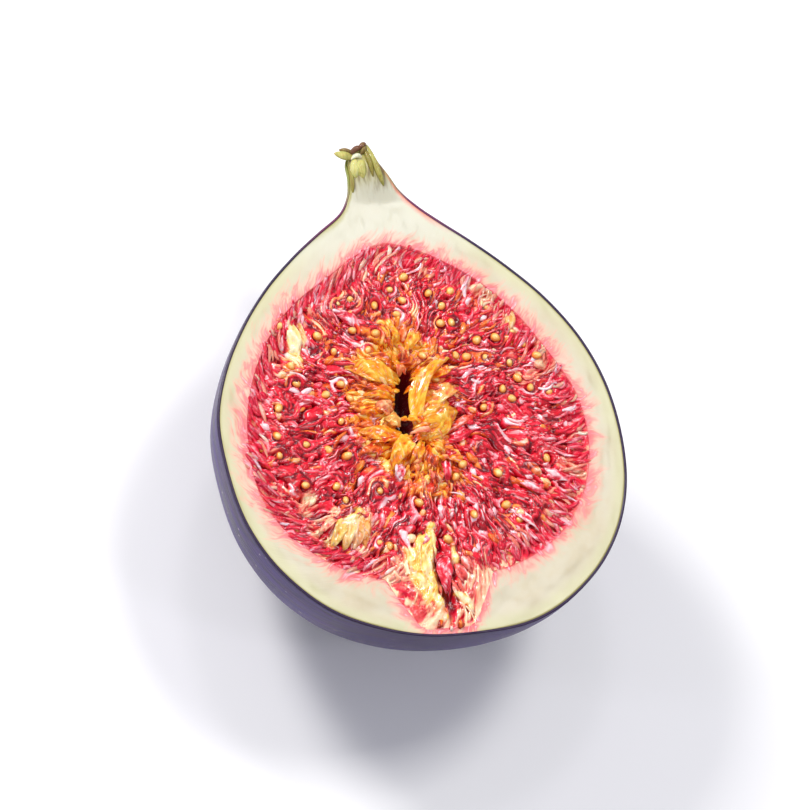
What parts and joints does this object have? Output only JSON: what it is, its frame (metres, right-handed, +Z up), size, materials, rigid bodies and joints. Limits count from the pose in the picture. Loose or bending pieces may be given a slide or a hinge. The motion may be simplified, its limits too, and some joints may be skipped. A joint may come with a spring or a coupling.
{
  "type": "halved fresh fig",
  "caption": "Ripe dark fig cut in half lengthwise, lying on its round back with the cut face up: skin, pale flesh and stalk round a crimson pulp of florets and seeds.",
  "frame": {"origin": "on the surface that the half lies on, under the middle of its box", "axes": "+Y along the fruit from the eye at its base to the cut stalk, +Z up out of the cut face, +X to the right seen from above with the stalk away"},
  "size_m": [0.056, 0.0704, 0.0284],
  "materials": {
    "rind": "dark purple skin with a bluish bloom outside, moist cream flesh on the cut",
    "pulp": "wet and glossy, crimson with pink, amber and gold"
  },
  "bodies": {
    "root": {"fig_rind": "rind", "fig_pulp": "pulp"}
  },
  "joints": []
}
